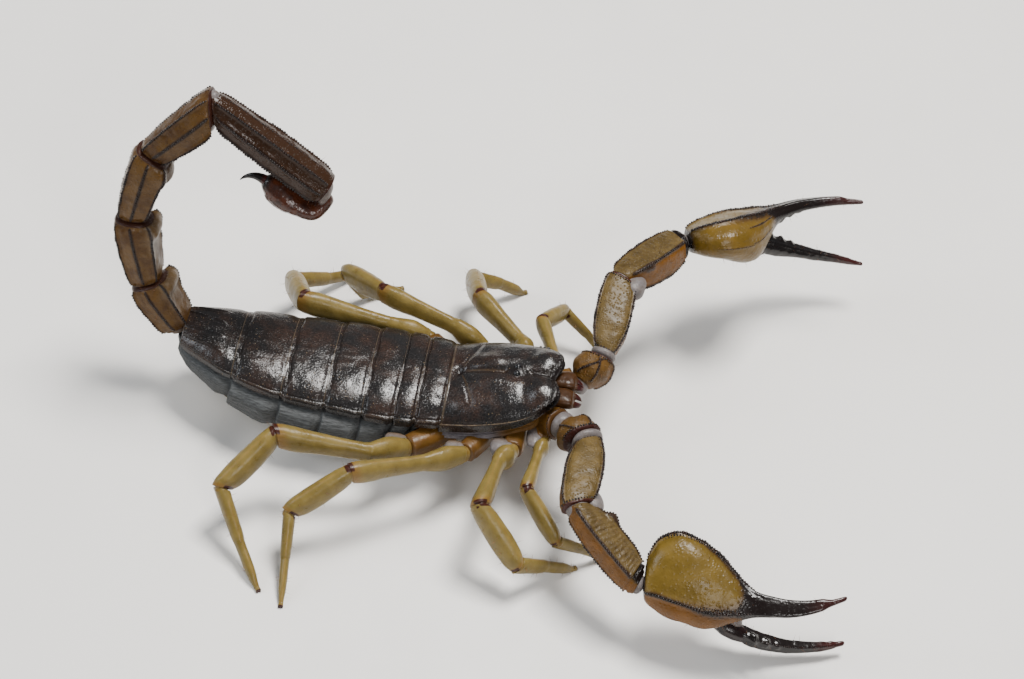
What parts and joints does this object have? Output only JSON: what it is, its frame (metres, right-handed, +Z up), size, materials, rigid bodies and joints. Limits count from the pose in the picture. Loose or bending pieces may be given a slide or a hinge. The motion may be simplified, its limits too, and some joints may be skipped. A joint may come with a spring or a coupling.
{
  "type": "scorpion",
  "caption": "Life-size still desert scorpion standing alert, with spread claws and a tail curled up and forward over the body.",
  "frame": {"origin": "centre of the underside of the bounding box, on the floor the feet stand on", "axes": "+X towards the head, +Y to the animal's left, +Z up"},
  "size_m": [0.094, 0.0676, 0.0421],
  "materials": {
    "dark_shell": "wet gloss, finely pitted",
    "brown_shell": "satin with beaded keels",
    "black_shell": "gloss",
    "red_shell": "granular gloss",
    "olive_shell": "satin with netted granules",
    "leg_shell": "waxy, slightly translucent",
    "jaw_shell": "waxy gloss",
    "soft_skin": "fine soft wrinkles"
  },
  "bodies": {
    "root": {"carapace": "dark_shell", "tergite_1": "dark_shell", "tergite_2": "dark_shell", "tergite_3": "dark_shell", "tergite_4": "dark_shell", "tergite_5": "dark_shell", "tergite_6": "dark_shell", "tergite_7": "dark_shell", "tail_segment_5": "dark_shell", "eye_left": "black_shell", "eye_right": "black_shell", "aculeus": "black_shell", "pedipalp_left_finger": "black_shell", "pedipalp_right_finger": "black_shell", "tail_segment_1": "brown_shell", "tail_segment_2": "brown_shell", "tail_segment_3": "brown_shell", "tail_segment_4": "brown_shell", "telson_vesicle": "red_shell", "belly": "soft_skin", "chelicera_left": "jaw_shell", "pectine_left": "leg_shell", "pedipalp_left_trochanter": "olive_shell", "pedipalp_left_femur": "olive_shell", "pedipalp_left_patella": "olive_shell", "pedipalp_left_hand": "olive_shell", "leg_1_left_femur": "leg_shell", "leg_1_left_patella": "leg_shell", "leg_1_left_foot": "leg_shell", "leg_2_left_femur": "leg_shell", "leg_2_left_patella": "leg_shell", "leg_2_left_foot": "leg_shell", "leg_3_left_femur": "leg_shell", "leg_3_left_patella": "leg_shell", "leg_3_left_foot": "leg_shell", "leg_4_left_femur": "leg_shell", "leg_4_left_patella": "leg_shell", "leg_4_left_foot": "leg_shell", "chelicera_right": "jaw_shell", "pectine_right": "leg_shell", "pedipalp_right_trochanter": "olive_shell", "pedipalp_right_femur": "olive_shell", "pedipalp_right_patella": "olive_shell", "pedipalp_right_hand": "olive_shell", "leg_1_right_femur": "leg_shell", "leg_1_right_patella": "leg_shell", "leg_1_right_foot": "leg_shell", "leg_2_right_femur": "leg_shell", "leg_2_right_patella": "leg_shell", "leg_2_right_foot": "leg_shell", "leg_3_right_femur": "leg_shell", "leg_3_right_patella": "leg_shell", "leg_3_right_foot": "leg_shell", "leg_4_right_femur": "leg_shell", "leg_4_right_patella": "leg_shell", "leg_4_right_foot": "leg_shell", "sternum_coxae": "leg_shell"}
  },
  "joints": []
}
